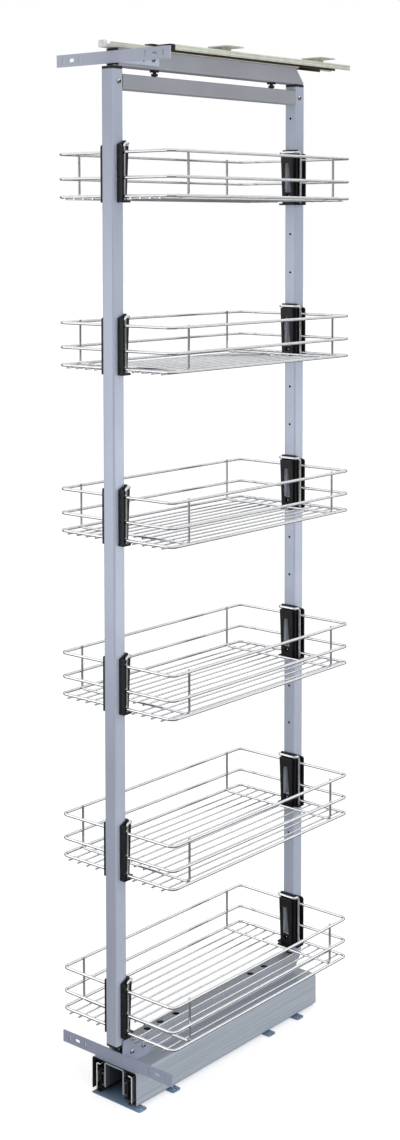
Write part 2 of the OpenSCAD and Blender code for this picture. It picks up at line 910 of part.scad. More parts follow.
// Bolts from the channel up into the foot plugs and from the beam down into the head plugs
module upright_bolts() {
    low_len = cover_t + channel_t + bottom_rail_h + foot_plug_t + foot_plug_depth / 2;
    high_len = beam_t + head_plug_t + head_plug_depth / 4;
    color("silver")
    for (y = sides)
        translate([0, y * upright_bolt_y, 0]) {
            translate([0, 0, channel_top - channel_t])
                mirror([0, 0, 1])
                    screw(screw_head_d, screw_head_h, screw_d, low_len);
            translate([0, 0, beam_low + beam_t])
                screw(screw_head_d, screw_head_h, screw_d, high_len);
        }
}

module top_crossbar() {
    color("silver")
        along_y(upright_size - half_depth, frame_depth - 2 * upright_size)
            translate([0, crossbar_z])
                tube_section();
}

module crossbar_screws() {
    color("whitesmoke")
    for (y = sides)
        translate([upright_size / 2, y * crossbar_screw_y, crossbar_z])
            rotate([0, 90, 0])
                screw(screw_head_d, screw_head_h, screw_d, upright_size / 2);
}

module top_beam() {
    color("silver")
    difference() {
        along_y(beam_front, beam_rear - beam_front)
            translate([0, beam_low + beam_top])
                mirror([0, 1])
                    hood(beam_w / 2, beam_low, beam_top, beam_t, beam_bend);
        across_x(beam_w + 2 * cut)
            polygon([
                [beam_rear - end_cut, beam_top],
                [beam_rear + cut, beam_top + cut],
                [beam_rear + cut, beam_low + beam_t],
                [beam_rear, beam_low + beam_t]
            ]);
        for (y = [front_bolt_y, rear_bolt_y])
            translate([0, y, beam_low - cut])
                cylinder(d = bolt_d + hole_play, h = beam_t + 2 * cut);
        for (y = sides)
            translate([0, y * upright_bolt_y, beam_low - cut])
                cylinder(d = screw_d + hole_play, h = beam_t + 2 * cut);
        arm_screw_holes(high_screw_y, high_screw_step, high_bar_z);
    }
}

module beam_bolts() {
    head = bolt_flange_t + bolt_neck;
    shank = beam_h + slide_t + nut_h + cut;
    color("black")
    for (y = [front_bolt_y, rear_bolt_y])
        translate([0, y, beam_low]) {
            translate([0, 0, -head - bolt_head_h / 2])
                cylinder(d = bolt_d, h = head + bolt_head_h / 2 + shank);
            translate([0, 0, -bolt_flange_t])
                cylinder(d = bolt_flange_d, h = bolt_flange_t);
            translate([0, 0, -head - bolt_head_h])
                cylinder(d = bolt_head_d, h = bolt_head_h, $fn = 6);
            translate([0, 0, -head])
                mirror([0, 0, 1])
                    dome(bolt_head_d - 2 * bolt_tip_h, bolt_head_h + bolt_tip_h, bolt_head_h);
        }
}

module beam_nuts() {
    color("silver")
    for (y = [front_bolt_y, rear_bolt_y])
        translate([0, y, beam_top + slide_t])
            difference() {
                cylinder(d = nut_d, h = nut_h, $fn = 6);
                translate([0, 0, -cut])
                    cylinder(d = bolt_d + hole_play, h = nut_h + 2 * cut);
            }
}

// Top slide

module beam_rail() {
    color("khaki")
    difference() {
        along_y(slide_front, slide_len)
            translate([0, beam_top + inner_slide_top])
                mirror([0, 1])
                    hood(inner_slide_x, beam_top, inner_slide_top, slide_t, slide_bend);
        for (y = [front_bolt_y, rear_bolt_y])
            translate([0, y, beam_top - cut])
                cylinder(d = bolt_d + hole_play, h = slide_t + 2 * cut);
    }
}

module beam_rail_bumper() {
    color("white")
        across_x(bumper_w)
            translate([slide_front - bumper_len / 2, beam_top + bumper_h / 2])
                rounded(bumper_len, bumper_h, bumper_r);
}

module top_middle_rail() {
    color("saddlebrown")
        along_y(middle_front, slide_len)
            hood(middle_slide_x, middle_slide_low, middle_slide_top, slide_t, slide_bend);
}

module top_middle_stop() {
    color("black")
        translate([-stop_w / 2, middle_front, middle_slide_top])
            cube([stop_w, stop_len, stop_h]);
}

module ceiling_rail() {
    groove_x = ceiling_slide_x - groove_depth + groove_r;
    groove_z = (ceiling_slide_low + ceiling_slide_top) / 2;
    color("khaki")
        along_y(ceiling_front, slide_len)
            difference() {
                hood(ceiling_slide_x, ceiling_slide_low, ceiling_slide_top, slide_t, slide_bend);
                for (x = sides)
                    translate([x * groove_x, groove_z])
                        circle(groove_r);
            }
}

module ceiling_rail_cap() {
    gate_x = middle_slide_x + side_gap;
    color("black")
        along_y(ceiling_front - slide_cap_t, slide_cap_t)
            difference() {
                arch(ceiling_slide_x, ceiling_slide_low, ceiling_slide_top, slide_bend);
                arch(gate_x, ceiling_slide_low - cut, middle_slide_top + side_gap, slide_bend);
            }
}

// Flat plates that stand on round bosses over the ceiling slide
module ceiling_plates() {
    color("khaki")
    for (i = [0, 1])
        translate([0, ceiling_front + first_plate + i * plate_step, 0])
            difference() {
                union() {
                    translate([0, 0, plate_top - plate_t])
                        linear_extrude(plate_t)
                            rounded(plate_w, plate_len, plate_r);
                    translate([0, 0, ceiling_slide_top])
                        cylinder(d = boss_d, h = plate_rise - plate_t / 2);
                }
                for (x = sides)
                    translate([x * plate_hole_span / 2, 0, plate_top - plate_t - cut])
                        cylinder(d = plate_hole_d, h = plate_t + 2 * cut);
            }
}

// Bridge over the inner member with a strip of balls down each side
module slide_cage(front, lane_x, bridge_z, ball_z) {
    low = ball_z - slide_ball_d / 2 - cage_t;
    difference() {
        along_y(front, slide_cage_len)
            hood(lane_x + cage_t / 2, low, bridge_z + cage_t, cage_t, slide_bend);
        slide_balls_at(front, lane_x, ball_z)
            rotate([0, 90, 0])
                cylinder(d = slide_ball_d + 2 * ball_gap, h = 2 * cage_t, center = true);
    }
}

module slide_balls_at(front, lane_x, ball_z) {
    for (y = ball_row(slide_cage_len, slide_balls), x = sides)
        translate([x * lane_x, front + slide_cage_len / 2 + y, ball_z])
            children();
}

module top_outer_cage() {
    color("goldenrod")
        slide_cage(outer_cage_front, outer_lane_x, outer_bridge_z, outer_slide_ball_z);
}

module top_outer_balls() {
    color("silver")
        slide_balls_at(outer_cage_front, outer_lane_x, outer_slide_ball_z)
            sphere(d = slide_ball_d);
}

module top_inner_cage() {
    color("goldenrod")
        slide_cage(inner_cage_front, inner_lane_x, inner_bridge_z, inner_slide_ball_z);
}

module top_inner_balls() {
    color("silver")
        slide_balls_at(inner_cage_front, inner_lane_x, inner_slide_ball_z)
            sphere(d = slide_ball_d);
}

// Basket clips

// Section of the hollow tongue: depth over height
module tongue_section(inset) {
    polygon([
        [0, foot_top + inset],
        [tongue_foot - inset, foot_top + inset],
        [tongue_depth - inset, tongue_top - inset],
        [0, tongue_top - inset]
    ]);
}

// Clip on the inner face of the front upright, with the top rim of its basket at z = 0
module clip() {
    back_top = hook_rise + hook_d / 2 + clip_back_rise;
    wing_mid = (cheek_x + clip_w / 2) / 2;
    outer_x = cheek_x + clip_t;
    wing_back = wing_u - clip_t;
    ledge_u = tongue_u + tongue_depth;
    difference() {
        union() {
            along_y(wing_back, clip_t)
                difference() {
                    arch(clip_w / 2, foot_low, clip_head, wing_r);
                    span(-cheek_x, foot_low - cut, cheek_x, clip_head + cut);
                }
            for (x = sides)
                translate([x * (cheek_x + clip_t / 2), 0, 0])
                    across_x(clip_t)
                        polygon([
                            [wing_back, foot_low],
                            [tongue_u, foot_low],
                            [tongue_u, back_top],
                            [clip_back_u, back_top],
                            [wing_back, clip_head]
                        ]);
            translate([-outer_x, clip_back_u, foot_low])
                cube([2 * outer_x, clip_back_t, back_top - foot_low]);
            for (x = [-clip_w / 2, cheek_x])
                translate([x, wing_back, foot_low])
                    cube([clip_w / 2 - cheek_x, tongue_u - wing_back, clip_foot_t]);
            translate([-outer_x, clip_back_u, foot_low])
                cube([2 * outer_x, ledge_u - clip_back_u, clip_foot_t]);
            translate([0, tongue_u, 0])
                across_x(tongue_w)
                    tongue_section(0);
        }
        translate([0, tongue_u, 0])
            across_x(tongue_w - 2 * tongue_wall)
                tongue_section(tongue_wall);
        along_y(clip_back_u - cut, clip_back_t + tongue_depth + 2 * cut)
            polygon([
                [-window_top_w / 2, -window_drop],
                [window_top_w / 2, -window_drop],
                [window_low_w / 2, -window_drop - window_h],
                [-window_low_w / 2, -window_drop - window_h]
            ]);
        translate([0, upright_size, -clip_screw_drop]) {
            bar_y(clip_fit + clip_back_t + cut, clip_screw_d + hole_play);
            translate([0, clip_fit + clip_back_t + cut, 0])
                bar_y(tongue_depth + cut, clip_screw_head_d + 2 * hole_play);
        }
        for (x = sides, z = rim_levels)
            translate([x * wing_mid, wing_back - cut, z])
                bar_y(clip_t + 2 * cut, dot_d);
    }
}

module clip_front(i) {
    color("black")
        translate([0, -half_depth, level(i)])
            clip();
}

module clip_rear(i) {
    color("black")
        mirror([0, 1, 0])
            translate([0, -half_depth, level(i)])
                clip();
}

module clip_screws() {
    color("silver")
    for (i = [1 : basket_count], m = [0, 1])
        mirror([0, m, 0])
            translate([0, tongue_u - half_depth, level(i) - clip_screw_drop])
                rotate([-90, 0, 0])
                    screw(clip_screw_head_d, clip_screw_head_h, clip_screw_d, clip_screw_len);
}

// Baskets

// One side of a rim: a long wire with both ends turned in towards the hooks
module rim_half() {
    straight = basket_x - rim_r - leg_x;
    translate([basket_x, -basket_y + rim_r, 0])
        bar_y(2 * (basket_y - rim_r), rim_d);
    for (m = [0, 1])
        mirror([0, m, 0]) {
            translate([basket_x - rim_r, basket_y - rim_r, 0])
                elbow(rim_r, rim_d);
            translate([leg_x - rim_lap, basket_y, 0])
                bar_x(straight + rim_lap, rim_d);
        }
}

// Hook over the tongue of the front clip
module hook() {
    run = bar_u - leg_u - 2 * hook_r;
    for (m = [0, 1])
        mirror([m, 0, 0]) {
            translate([leg_x, leg_u, leg_low])
                cylinder(d = hook_d, h = hook_rise - hook_r - leg_low);
            translate([leg_x, leg_u + hook_r, hook_rise - hook_r])
                rotate([90, 0, -90])
                    elbow(hook_r, hook_d);
            translate([leg_x, leg_u + hook_r, hook_rise])
                bar_y(run, hook_d);
            translate([leg_x - hook_r, bar_u - hook_r, hook_rise])
                elbow(hook_r, hook_d);
        }
    translate([hook_r - leg_x, bar_u, hook_rise])
        bar_x(2 * (leg_x - hook_r), hook_d);
}

// Bent wire across the floor with both ends up inside the rims
module cross_wire() {
    for (m = [0, 1])
        mirror([m, 0, 0]) {
            translate([cross_x, 0, cross_z + cross_r])
                cylinder(d = cross_d, h = cross_rise - cross_z - cross_r);
            translate([cross_x - cross_r, 0, cross_z + cross_r])
                rotate([-90, 0, 0])
                    elbow(cross_r, cross_d);
        }
    translate([cross_r - cross_x, 0, cross_z])
        bar_x(2 * (cross_x - cross_r), cross_d);
}

module floor_wires() {
    for (i = [-floor_side_count : floor_side_count]) {
        x = i * floor_pitch;
        clear_of_clip = abs(x) - floor_d / 2 > clip_w / 2;
        half = clear_of_clip ? basket_y + floor_stub : cross_y + cross_d / 2;
        translate([x, -half, floor_z])
            bar_y(2 * half, floor_d);
    }
}

module basket(i) {
    color("white")
    translate([0, 0, level(i)]) {
        for (m = [0, 1], z = rim_levels)
            mirror([m, 0, 0])
                translate([0, 0, z])
                    rim_half();
        for (m = [0, 1])
            mirror([0, m, 0]) {
                translate([0, -half_depth, 0])
                    hook();
                translate([0, cross_y, 0])
                    cross_wire();
            }
        floor_wires();
    }
}

base_plate();
outer_rail(-1);  // outer_rail_left
outer_rail(1);  // outer_rail_right
ceiling_rail();
ceiling_plates();
ceiling_rail_cap();
runner_outer_cages();
runner_outer_balls();
middle_rail(-1);  // middle_rail_left
middle_rail(1);  // middle_rail_right
runner_inner_cages();
runner_inner_balls();
top_outer_cage();
top_outer_balls();
top_middle_rail();
top_middle_stop();
top_inner_cage();
top_inner_balls();
runner_cover();
inner_channel();
inner_rail(-1);  // inner_rail_left
inner_rail(1);  // inner_rail_right
bottom_rail();
bottom_bracket();
bracket_screws();
front_upright();
rear_upright();
upright_plugs();
upright_bolts();
top_crossbar();
crossbar_screws();
top_beam();
beam_bolts();
beam_nuts();
top_bracket();
beam_rail();
beam_rail_bumper();
clip_front(1);  // clip_front_1
clip_front(2);  // clip_front_2
clip_front(3);  // clip_front_3
clip_front(4);  // clip_front_4
clip_front(5);  // clip_front_5
clip_front(6);  // clip_front_6
clip_rear(1);  // clip_rear_1
clip_rear(2);  // clip_rear_2
clip_rear(3);  // clip_rear_3
clip_rear(4);  // clip_rear_4
clip_rear(5);  // clip_rear_5
clip_rear(6);  // clip_rear_6
clip_screws();
basket(1);  // basket_1
basket(2);  // basket_2
basket(3);  // basket_3
basket(4);  // basket_4
basket(5);  // basket_5
basket(6);  // basket_6
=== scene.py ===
"""Studio picture of a pull-out pantry frame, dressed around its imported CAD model.

Every length is in metres, in the frame of the CAD model: +Z up, the front is -Y.
"""
import json
import math

import bpy
from mathutils import Matrix, Vector


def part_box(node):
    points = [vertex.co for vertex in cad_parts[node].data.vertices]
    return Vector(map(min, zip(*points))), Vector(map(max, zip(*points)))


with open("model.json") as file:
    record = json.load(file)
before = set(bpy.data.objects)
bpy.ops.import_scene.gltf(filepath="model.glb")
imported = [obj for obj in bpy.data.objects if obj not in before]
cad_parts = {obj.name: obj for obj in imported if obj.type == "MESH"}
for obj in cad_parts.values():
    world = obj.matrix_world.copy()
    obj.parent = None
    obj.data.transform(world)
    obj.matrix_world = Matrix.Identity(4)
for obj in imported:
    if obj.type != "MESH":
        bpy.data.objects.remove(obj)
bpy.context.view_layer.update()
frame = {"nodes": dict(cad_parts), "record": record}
nodes = frame["nodes"]

# Camera of the photograph, in its 400 by 1140 picture; its axis meets the picture above the middle
PHOTO_H = 1140
FOCAL_PX = 1713.8
AXIS_ROW_PX = 345.9
CAMERA_TURN = math.radians(40.224)
CAMERA_TILT = math.radians(3.997)
CAMERA_ROLL = math.radians(-0.061)
CAMERA_PLACE = Vector((1.904, -2.2762, 1.4597))
SENSOR_H = 36.0


def add_camera():
    """Camera at the photograph's viewing angle, shifted because the photograph is cropped."""
    level_right = Vector((math.cos(CAMERA_TURN), math.sin(CAMERA_TURN), 0))
    level_ahead = Vector((-math.sin(CAMERA_TURN), math.cos(CAMERA_TURN), 0))
    up = Vector((0, 0, 1))
    ahead = level_ahead * math.cos(CAMERA_TILT) - up * math.sin(CAMERA_TILT)
    tilted_up = up * math.cos(CAMERA_TILT) + level_ahead * math.sin(CAMERA_TILT)
    right = level_right * math.cos(CAMERA_ROLL) + tilted_up * math.sin(CAMERA_ROLL)
    top = tilted_up * math.cos(CAMERA_ROLL) - level_right * math.sin(CAMERA_ROLL)
    data = bpy.data.cameras.new("camera")
    data.sensor_fit = "VERTICAL"
    data.sensor_height = SENSOR_H
    data.lens = SENSOR_H * FOCAL_PX / PHOTO_H
    data.shift_y = (AXIS_ROW_PX - PHOTO_H / 2) / PHOTO_H
    camera = bpy.data.objects.new("camera", data)
    turn = Matrix((right, top, -ahead)).transposed().to_4x4()
    camera.matrix_world = Matrix.Translation(CAMERA_PLACE) @ turn
    bpy.context.collection.objects.link(camera)
    bpy.context.scene.camera = camera


# Light and background

WHITE = (1, 1, 1, 1)
WORLD_LIGHT = 0.70
# Direction of the bright side of the studio, between which two heights along it the light comes up, and
# what a mirror sees of the bright side, the dark side and the floor
BRIGHT_SIDE = (0.06, -0.06, 0.95)
LIGHT_FROM = -0.02
LIGHT_TO = 0.36
BRIGHT_WALL = 1.0
DARK_WALL = 0.06
DARK_FLOOR = 0.17
FLOOR_SIZE = 60.0
# Small gap that keeps the floor off the underside of the base plate
FLOOR_DROP = 0.0005
FLOOR_COLOUR = (0.9, 0.9, 0.9, 1)
# Glow that lifts the floor to the white of the background
FLOOR_GLOW = 0.45
# Lamps: place, target, width and height, power in watts, and whether mirrors show them
LAMPS = {
    "key": ((-1.75, -2.25, 0.85), (0, 0, 0.95), (1.5, 1.6), 10, True),
    "rim": ((1.9, 2.0, 0.55), (0, 0, 0.8), (1.3, 1.0), 4.4, True),
    "fill": ((2.4, -0.4, 0.6), (0, 0, 0.6), (1.4, 1.1), 29, False),
}


def link(tree, source, socket):
    """Joins an output socket to an input socket."""
    tree.links.new(source, socket)


def feed(tree, value, socket):
    """Gives an input socket a plain number, a plain colour or another socket's output."""
    if isinstance(value, float):
        socket.default_value = value
    elif isinstance(value, tuple):
        socket.default_value = (*value, 1)
    else:
        link(tree, value, socket)


def spread(tree, value, low, high, start=0.0, stop=1.0):
    """The value from start..stop mapped to low..high; low and high may be sockets."""
    node = tree.nodes.new("ShaderNodeMapRange")
    feed(tree, value, node.inputs["Value"])
    feed(tree, start, node.inputs["From Min"])
    feed(tree, stop, node.inputs["From Max"])
    feed(tree, low, node.inputs["To Min"])
    feed(tree, high, node.inputs["To Max"])
    return node.outputs[0]


def add_world():
    """White where the camera sees it, softer where it lights, with a bright and a dark side in mirrors."""
    world = bpy.data.worlds.new("studio")
    world.use_nodes = True
    tree = world.node_tree
    tree.nodes.clear()
    out = tree.nodes.new("ShaderNodeOutputWorld")
    glow = tree.nodes.new("ShaderNodeBackground")
    place = tree.nodes.new("ShaderNodeTexCoord")
    path = tree.nodes.new("ShaderNodeLightPath")
    facing = tree.nodes.new("ShaderNodeVectorMath")
    facing.operation = "DOT_PRODUCT"
    facing.inputs[1].default_value = BRIGHT_SIDE
    link(tree, place.outputs["Generated"], facing.inputs[0])
    walls = spread(tree, facing.outputs["Value"], DARK_WALL, BRIGHT_WALL, LIGHT_FROM, LIGHT_TO)
    unseen = spread(tree, path.outputs["Is Glossy Ray"], WORLD_LIGHT, walls)
    link(tree, spread(tree, path.outputs["Is Camera Ray"], unseen, 1.0), glow.inputs["Strength"])
    glow.inputs["Color"].default_value = WHITE
    link(tree, glow.outputs[0], out.inputs["Surface"])
    bpy.context.scene.world = world


def add_lamp(name, place, target, size, power, mirrored):
    """Soft oblong lamp that faces its target and that the camera does not see."""
    data = bpy.data.lights.new(name, "AREA")
    data.shape = "RECTANGLE"
    data.size, data.size_y = size
    data.energy = power
    lamp = bpy.data.objects.new(name, data)
    lamp.location = place
    aim = Vector(target) - Vector(place)
    lamp.rotation_euler = aim.to_track_quat("-Z", "Y").to_euler()
    lamp.visible_camera = False
    lamp.visible_glossy = mirrored
    bpy.context.collection.objects.link(lamp)


def add_floor():
    """Pale plain floor that joins the white background, keeps a faint shadow and is grey in mirrors."""
    mesh = bpy.data.meshes.new("floor")
    half = FLOOR_SIZE / 2
    corners = [(-half, -half, 0), (half, -half, 0), (half, half, 0), (-half, half, 0)]
    mesh.from_pydata(corners, [], [(0, 1, 2, 3)])
    floor = bpy.data.objects.new("floor", mesh)
    floor.location.z = -FLOOR_DROP
    bpy.context.collection.objects.link(floor)
    material = bpy.data.materials.new("floor")
    material.use_nodes = True
    tree = material.node_tree
    tree.nodes.clear()
    out = tree.nodes.new("ShaderNodeOutputMaterial")
    path = tree.nodes.new("ShaderNodeLightPath")
    matte = tree.nodes.new("ShaderNodeBsdfDiffuse")
    matte.inputs["Color"].default_value = FLOOR_COLOUR
    lift = tree.nodes.new("ShaderNodeEmission")
    link(tree, spread(tree, path.outputs["Is Camera Ray"], 0.0, FLOOR_GLOW), lift.inputs["Strength"])
    lit = tree.nodes.new("ShaderNodeAddShader")
    link(tree, matte.outputs[0], lit.inputs[0])
    link(tree, lift.outputs[0], lit.inputs[1])
    mirrored = tree.nodes.new("ShaderNodeEmission")
    mirrored.inputs["Strength"].default_value = DARK_FLOOR
    choice = tree.nodes.new("ShaderNodeMixShader")
    link(tree, path.outputs["Is Glossy Ray"], choice.inputs["Fac"])
    link(tree, lit.outputs[0], choice.inputs[1])
    link(tree, mirrored.outputs[0], choice.inputs[2])
    link(tree, choice.outputs[0], out.inputs["Surface"])
    mesh.materials.append(material)


add_camera()
add_world()
add_floor()
for lamp_name, lamp_values in LAMPS.items():
    add_lamp(lamp_name, *lamp_values)
bpy.context.scene.view_settings.view_transform = "Standard"


# Materials

# Near black, painted into hollows and onto inner faces as painted shade
PAINTED_SHADE = (0.020, 0.021, 0.024)
BRIGHT_CHROME = (0.87, 0.88, 0.90)
STEEL = (0.78, 0.77, 0.74)
# Cut ends of the outer rails, painted much lighter than the rail as a painted highlight
RAIL_END_HIGHLIGHT = (0.90, 0.90, 0.90)
SATIN_GREY = (0.37, 0.41, 0.47)
# Dark satin grey over the whole inner channel but its cut ends, as painted shade
SATIN_PAINTED_SHADE = (0.075, 0.078, 0.095)
# Pale blue-grey on a clip's back plate behind its window, as painted light
CLIP_WINDOW_PAINTED_LIGHT = (0.80, 0.83, 0.92)

# Ranges in which nearly all values of a noise lie
NOISE_MIDDLE = (0.35, 0.65)
NOISE_WIDE = (0.30, 0.70)

# Grains per metre of the noises, and along X, Y and Z for drawn lines
COAT_CLOUD = 9
COAT_DULL = 60
COAT_PEEL = 900
PLATE_CLOUD = 45
CHROME_CLOUD = 70
CHROME_DULL = 140
CHROME_RIPPLE = 220
MOULD_CLOUD = 60
MOULD_SPARK = 1600
PLATE_LINES = (300, 4, 300)
SATIN_LINES = (260, 3, 260)

# Fine relief: strength, and depth in metres
COAT_RELIEF = (0.06, 0.0002)
PLATE_RELIEF = (0.08, 0.0002)
CHROME_RELIEF = (0.05, 0.0003)
MOULD_RELIEF = (0.2, 0.0002)

# Ranges of roughness, and of tone as a share of the colour
COAT_ROUGH = (0.34, 0.46)
SATIN_ROUGH = (0.3, 0.4)
PLATE_ROUGH = (0.22, 0.4)
CHROME_ROUGH = (0.05, 0.14)
MOULD_ROUGH = (0.38, 0.52)
SATIN_VARIATION = 0.09
CHROME_TONES = (0.9, 1.0)
MOULD_TONES = (0.75, 1.35)

# How open a hollow is where its painted shade is fully dark, and where it is no darker than the rest
HOLLOW_DARK = 0.72
HOLLOW_OPEN = 0.94
# How far around a point the walls of a hollow count
SOCKET_REACH = 0.004
RAIL_REACH = 0.008

# A tube is painted dark below its skin as painted shade inside it, but for the rounded edges
TUBE_SKIN = 0.00005
TUBE_EDGE = 0.0035
# The cover is painted dark as painted shade on its inner faces, a little less than its sheet and the ridges
# below its outside, and on its front edge
COVER_SHEET = 0.0018
COVER_RIDGE = 0.0006
# Depth that counts as the cut end of a rail, a channel or the cover
END_DEPTH = 0.0003
# Back plate of a clip from the upright, half of the hollow in its tongue, and its window from the clip's
# top; behind the window the back plate is painted pale as painted light
CLIP_BACK = 0.0032
HOLLOW_HALF = 0.0103
WINDOW_TOP = 0.022
WINDOW_LOW = 0.079

upright_low, upright_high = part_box("front_upright")
cover_low, cover_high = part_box("runner_cover")
clip_low, clip_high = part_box("clip_front_1")
TUBE_Y = abs(upright_low[1] + upright_high[1]) / 2
TUBE_HALF = (upright_high[0] - upright_low[0]) / 2
CLIP_HEIGHT = clip_high[2] - clip_low[2]


def new_material(name):
    """Material with a plain Principled surface; returns it with its tree, surface and object coordinates."""
    material = bpy.data.materials.new(name)
    material.use_nodes = True
    tree = material.node_tree
    surface = tree.nodes["Principled BSDF"]
    place = tree.nodes.new("ShaderNodeTexCoord")
    return material, tree, surface, place.outputs["Object"]


def noise(tree, coords, grains, detail):
    """Noise value at a number of grains per metre."""
    node = tree.nodes.new("ShaderNodeTexNoise")
    node.inputs["Scale"].default_value = grains
    node.inputs["Detail"].default_value = detail
    link(tree, coords, node.inputs["Vector"])
    return node.outputs["Fac"]


def drawn(tree, coords, lines, detail):
    """Noise in lines, with a number of grains per metre along each axis."""
    mapping = tree.nodes.new("ShaderNodeMapping")
    mapping.inputs["Scale"].default_value = lines
    link(tree, coords, mapping.inputs["Vector"])
    return noise(tree, mapping.outputs[0], 1, detail)


def ramp(tree, value, limits, colour, tones):
    """The colour from its first tone to its second as the value goes from limit to limit."""
    node = tree.nodes.new("ShaderNodeValToRGB")
    for element, limit, tone in zip(node.color_ramp.elements, limits, tones):
        element.position = limit
        element.color = (*(channel * tone for channel in colour), 1)
    link(tree, value, node.inputs[0])
    return node.outputs[0]


def bump(tree, height, relief):
    """Normal from a height map and the strength and depth of its relief."""
    node = tree.nodes.new("ShaderNodeBump")
    strength, depth = relief
    node.inputs["Strength"].default_value = strength
    node.inputs["Distance"].default_value = depth
    link(tree, height, node.inputs["Height"])
    return node.outputs[0]


def mixed(tree, share, first, second):
    """The first colour where the share is nothing, the second where it is one; colours may be sockets."""
    node = tree.nodes.new("ShaderNodeMixRGB")
    feed(tree, share, node.inputs["Fac"])
    feed(tree, first, node.inputs["Color1"])
    feed(tree, second, node.inputs["Color2"])
    return node.outputs[0]


def maths(tree, operation, first, second=0.0):
    """Result of a math node on sockets or plain numbers."""
    node = tree.nodes.new("ShaderNodeMath")
    node.operation = operation
    feed(tree, first, node.inputs[0])
    feed(tree, second, node.inputs[1])
    return node.outputs[0]


def every(tree, first, *others):
    """One where all of the masks are one."""
    for mask in others:
        first = maths(tree, "MULTIPLY", first, mask)
    return first


def along_axes(tree, coords):
    """Sockets with the X, Y and Z of a position."""
    node = tree.nodes.new("ShaderNodeSeparateXYZ")
    link(tree, coords, node.inputs[0])
    return node.outputs


def distance(tree, value, middle=0.0):
    """How far a value is from the middle, on either side."""
    return maths(tree, "ABSOLUTE", maths(tree, "SUBTRACT", value, middle))


def inside_tubes(tree, coords):
    """One on the inner walls and in the holes of the two uprights, nothing on their outside."""
    place = along_axes(tree, coords)
    across = distance(tree, place["X"])
    along = distance(tree, distance(tree, place["Y"]), TUBE_Y)
    below_face = maths(tree, "LESS_THAN", maths(tree, "MAXIMUM", across, along), TUBE_HALF - TUBE_SKIN)
    off_edges = maths(tree, "LESS_THAN", maths(tree, "MINIMUM", across, along), TUBE_HALF - TUBE_EDGE)
    return every(tree, below_face, off_edges)


def inside_cover(tree, coords):
    """One on the inner faces and the front edge of the runner cover, nothing on its outside."""
    place = along_axes(tree, coords)
    half = cover_high[0] - COVER_RIDGE - COVER_SHEET
    between = maths(tree, "LESS_THAN", distance(tree, place["X"]), half)
    under = maths(tree, "LESS_THAN", place["Z"], cover_high[2] - COVER_SHEET)
    edge = maths(tree, "LESS_THAN", place["Y"], cover_low[1] + END_DEPTH)
    return maths(tree, "MAXIMUM", every(tree, between, under), edge)


def cut_ends(node):
    """Mask that is one on the two cut ends of a node, nothing along it."""
    low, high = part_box(node)
    middle = (low[1] + high[1]) / 2
    half = (high[1] - low[1]) / 2

    def mask(tree, coords):
        from_middle = distance(tree, along_axes(tree, coords)["Y"], middle)
        return maths(tree, "GREATER_THAN", from_middle, half - END_DEPTH)

    return mask


def behind_window(tree, coords):
    """One on the back plate of a clip, as far as it lies in the hollow behind the window of the tongue."""
    place = along_axes(tree, coords)
    own = tree.nodes.new("ShaderNodeTexCoord")
    height = along_axes(tree, own.outputs["Generated"])["Z"]
    deep = maths(tree, "GREATER_THAN", distance(tree, place["Y"]), TUBE_Y - TUBE_HALF - CLIP_BACK)
    inner = maths(tree, "LESS_THAN", distance(tree, place["X"]), HOLLOW_HALF)
    under = maths(tree, "LESS_THAN", height, 1 - WINDOW_TOP / CLIP_HEIGHT)
    over = maths(tree, "GREATER_THAN", height, 1 - WINDOW_LOW / CLIP_HEIGHT)
    return every(tree, deep, inner, under, over)


def hollowed(tree, tone, reach):
    """The tone with painted shade in sockets, lanes and gaps whose walls lie within the reach."""
    hollow = tree.nodes.new("ShaderNodeAmbientOcclusion")
    hollow.inputs["Distance"].default_value = reach
    openness = spread(tree, hollow.outputs["AO"], 0.0, 1.0, HOLLOW_DARK, HOLLOW_OPEN)
    return mixed(tree, openness, PAINTED_SHADE, tone)


def varied(variation):
    """Tones a little under and over the colour."""
    return 1 - variation, 1 + variation


def coated_metal(name, colour, rough=COAT_ROUGH, variation=0.05, lines=None, metallic=0.15,
                 painted_shading_mask=None, painted_shading_tone=PAINTED_SHADE):
    """Satin powder coat: faint cloudy tone, or drawn lines, and a fine orange-peel skin.

    Where the mask named painted_shading_mask is one, painted_shading_tone shows in place of the coat, as
    painted light and shade.
    """
    material, tree, surface, coords = new_material(name)
    if lines:
        cloud = drawn(tree, coords, lines, detail=4)
    else:
        cloud = noise(tree, coords, COAT_CLOUD, detail=4)
    tone = ramp(tree, cloud, NOISE_MIDDLE, colour, varied(variation))
    if painted_shading_mask:
        tone = mixed(tree, painted_shading_mask(tree, coords), tone, painted_shading_tone)
    link(tree, tone, surface.inputs["Base Color"])
    dull = noise(tree, coords, COAT_DULL, detail=3)
    link(tree, spread(tree, dull, *rough), surface.inputs["Roughness"])
    peel = noise(tree, coords, COAT_PEEL, detail=1)
    link(tree, bump(tree, peel, COAT_RELIEF), surface.inputs["Normal"])
    surface.inputs["Metallic"].default_value = metallic
    return material


def plated_metal(name, colour, metallic=1.0, variation=0.14, painted_shading_mask=None, painted_shading_tone=PAINTED_SHADE, reach=0.0):
    """Rolled or plated steel: drawn lines along its length and cloudy plating, with painted shade in its
    hollows if asked.

    Where the mask named painted_shading_mask is one, painted_shading_tone shows in place of the plating, as
    painted light and shade.
    """
    material, tree, surface, coords = new_material(name)
    lines = drawn(tree, coords, PLATE_LINES, detail=3)
    cloud = noise(tree, coords, PLATE_CLOUD, detail=3)
    mean = maths(tree, "MULTIPLY", maths(tree, "ADD", lines, cloud), 0.5)
    tone = ramp(tree, mean, NOISE_MIDDLE, colour, varied(variation))
    if painted_shading_mask:
        tone = mixed(tree, painted_shading_mask(tree, coords), tone, painted_shading_tone)
    if reach:
        tone = hollowed(tree, tone, reach)
    link(tree, tone, surface.inputs["Base Color"])
    link(tree, spread(tree, cloud, *PLATE_ROUGH), surface.inputs["Roughness"])
    link(tree, bump(tree, lines, PLATE_RELIEF), surface.inputs["Normal"])
    surface.inputs["Metallic"].default_value = metallic
    return material


